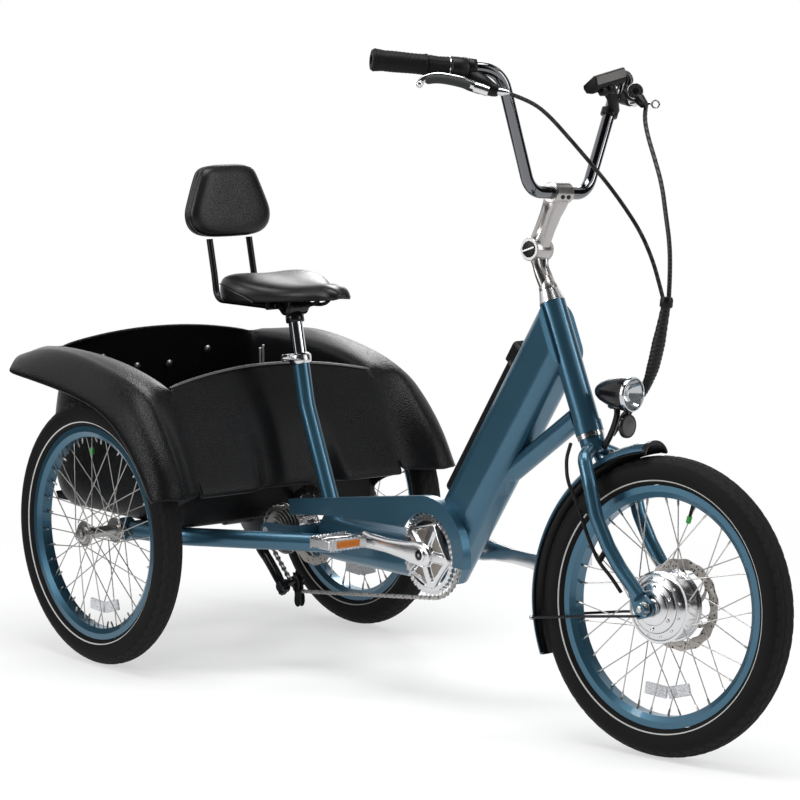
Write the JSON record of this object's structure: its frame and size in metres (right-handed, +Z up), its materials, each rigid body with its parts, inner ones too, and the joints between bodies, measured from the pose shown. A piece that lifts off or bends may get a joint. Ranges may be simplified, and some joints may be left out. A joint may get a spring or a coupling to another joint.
{
  "type": "electric tricycle",
  "caption": "Electric cargo tricycle with a step-through frame, hub-motor front wheel, padded seat with backrest, swept handlebar and a moulded rear cargo tub.",
  "frame": {"origin": "on the ground under the middle of the bounding box", "axes": "+X forward, the way it drives; +Y to its left; +Z up"},
  "size_m": [1.7924, 0.734, 1.1986],
  "materials": {
    "frame_paint": "satin",
    "rim_blue": "gloss",
    "polished_alloy": "polished",
    "chromed_steel": "polished",
    "bare_steel": "brushed",
    "black_alloy": "anodised",
    "black_tub": "pebbled",
    "black_plastic": "satin",
    "lamp_black": "gloss",
    "tyre_rubber": "matt",
    "soft_rubber": "matt",
    "black_vinyl": "grained"
  },
  "bodies": {
    "frame": {"head_tube": "frame_paint", "down_tube": "frame_paint", "battery_rail": "black_plastic", "main_beam": "frame_paint", "bottom_bracket": "polished_alloy", "brace_tube": "frame_paint", "seat_tube": "frame_paint", "right_stay": "frame_paint", "left_stay": "frame_paint", "chain": "bare_steel", "chain_guard": "frame_paint", "jackshaft_hub": "polished_alloy", "jackshaft_carrier": "frame_paint", "cassette": "bare_steel", "rear_rotor": "bare_steel", "derailleur": "black_alloy", "axle_drive": "black_alloy", "cargo_tub": "black_tub", "right_mudguard": "black_tub", "left_mudguard": "black_tub", "seat_collar": "black_alloy"},
    "seat": {"seatpost": "chromed_steel", "seat_clamp": "black_alloy", "saddle": "black_vinyl", "backrest": "black_vinyl", "backrest_posts": "black_alloy"},
    "steering": {"fork": "frame_paint", "headset": "polished_alloy", "stem": "polished_alloy", "handlebar": "chromed_steel", "grips": "soft_rubber", "brake_levers": "black_alloy", "display": "black_plastic", "headlight": "lamp_black", "lamp_bracket": "black_alloy", "front_fender": "frame_paint", "fender_stays": "black_alloy", "front_caliper": "black_alloy", "right_cable": "soft_rubber", "left_cable": "soft_rubber", "cable_bundle": "soft_rubber", "motor_cable": "soft_rubber"},
    "front_wheel": {"front_tyre": "tyre_rubber", "front_rim": "rim_blue", "front_spokes": "bare_steel", "front_hub": "polished_alloy", "front_rotor": "bare_steel"},
    "right_wheel": {"right_tyre": "tyre_rubber", "right_rim": "rim_blue", "right_spokes": "bare_steel", "right_hub": "polished_alloy"},
    "left_wheel": {"left_tyre": "tyre_rubber", "left_rim": "rim_blue", "left_spokes": "bare_steel", "left_hub": "polished_alloy"},
    "cranks": {"crank_arms": "polished_alloy", "chainring": "bare_steel"},
    "right_pedal": {"right_pedal": "polished_alloy"},
    "left_pedal": {"left_pedal": "polished_alloy"}
  },
  "joints": [
    {"name": "steer", "type": "hinge", "parent": "frame", "child": "steering", "pos_m": [0.45957, 0, 0.534], "axis": [-0.4115, 0, 0.9114], "range_deg": [-54.9, 35.1]},
    {"name": "front_roll", "type": "hinge", "parent": "steering", "child": "front_wheel", "pos_m": [0.64206, 0.00914, 0.25667], "axis": [-0.1572, 0.985, -0.071], "continuous": true},
    {"name": "right_roll", "type": "hinge", "parent": "frame", "child": "right_wheel", "pos_m": [-0.59121, -0.3165, 0.257], "axis": [0, 1, 0], "continuous": true},
    {"name": "left_roll", "type": "hinge", "parent": "frame", "child": "left_wheel", "pos_m": [-0.59121, 0.3165, 0.257], "axis": [0, 1, 0], "continuous": true},
    {"name": "crank_turn", "type": "hinge", "parent": "frame", "child": "cranks", "pos_m": [0.08375, 0, 0.277], "axis": [0, 1, 0], "continuous": true},
    {"name": "right_pedal_turn", "type": "hinge", "parent": "cranks", "child": "right_pedal", "pos_m": [-0.07387, -0.13, 0.28802], "axis": [0, 1, 0], "continuous": true},
    {"name": "left_pedal_turn", "type": "hinge", "parent": "cranks", "child": "left_pedal", "pos_m": [0.24136, 0.13, 0.26598], "axis": [0, 1, 0], "continuous": true},
    {"name": "seat_height", "type": "slide", "parent": "frame", "child": "seat", "axis": [-0.2158, 0, 0.9764], "range_m": [-0.03, 0.02]}
  ]
}
